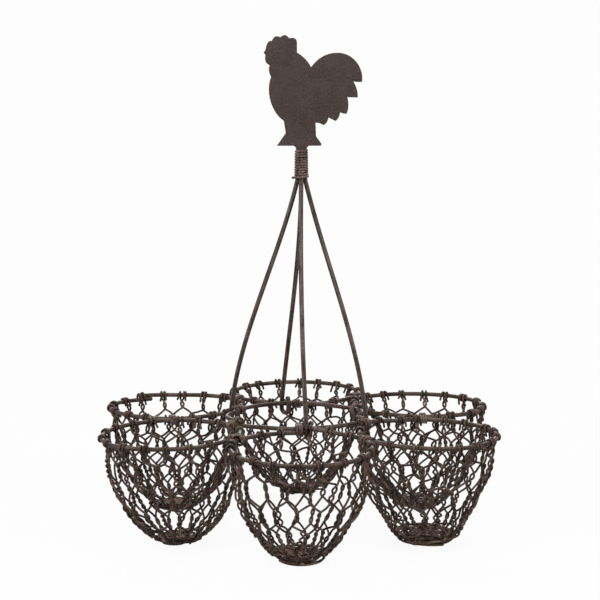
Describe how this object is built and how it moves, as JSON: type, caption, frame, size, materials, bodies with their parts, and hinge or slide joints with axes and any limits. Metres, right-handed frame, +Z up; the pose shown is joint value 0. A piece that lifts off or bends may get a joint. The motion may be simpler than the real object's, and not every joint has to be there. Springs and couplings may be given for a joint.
{
  "type": "egg basket",
  "caption": "Free-standing wire egg basket: chicken-wire cups tied in a ring round a plain centre ring, with a tall hooked wire handle topped by a flat cut-out rooster.",
  "frame": {"origin": "on the table, under the middle of the centre ring", "axes": "+Z up; the rooster's flat side faces -Y, the front, and its beak points to -X"},
  "size_m": [0.1946, 0.2126, 0.2429],
  "materials": {
    "ring_wire": "dull dark rust-brown patina, worn a little lighter on top",
    "net_wire": "dull dark rust-brown patina, darker where the strands cross",
    "gathered_net": "dull, dark brown",
    "handle_wire": "dull dark rust-brown patina with soft highlights",
    "binding_wire": "dull dark rust-brown patina",
    "rooster_sheet": "matt, finely speckled rust brown"
  },
  "bodies": {
    "root": {"cup_rim_back_right": "ring_wire", "cup_net_back_right": "net_wire", "cup_base_back_right": "gathered_net", "cup_rim_back": "ring_wire", "cup_net_back": "net_wire", "cup_base_back": "gathered_net", "cup_rim_back_left": "ring_wire", "cup_net_back_left": "net_wire", "cup_base_back_left": "gathered_net", "cup_rim_front_left": "ring_wire", "cup_net_front_left": "net_wire", "cup_base_front_left": "gathered_net", "cup_rim_front": "ring_wire", "cup_net_front": "net_wire", "cup_base_front": "gathered_net", "cup_rim_front_right": "ring_wire", "cup_net_front_right": "net_wire", "cup_base_front_right": "gathered_net", "centre_ring": "ring_wire", "handle_leg_right": "handle_wire", "handle_leg_back": "handle_wire", "handle_leg_left": "handle_wire", "handle_leg_front": "handle_wire", "neck_binding": "binding_wire", "rooster_plate": "rooster_sheet", "centre_tie_back_right": "binding_wire", "cup_tie_back_right_to_back": "binding_wire", "centre_tie_back": "binding_wire", "cup_tie_back_to_back_left": "binding_wire", "centre_tie_back_left": "binding_wire", "cup_tie_back_left_to_front_left": "binding_wire", "centre_tie_front_left": "binding_wire", "cup_tie_front_left_to_front": "binding_wire", "centre_tie_front": "binding_wire", "cup_tie_front_to_front_right": "binding_wire", "centre_tie_front_right": "binding_wire", "cup_tie_front_right_to_back_right": "binding_wire"}
  },
  "joints": []
}
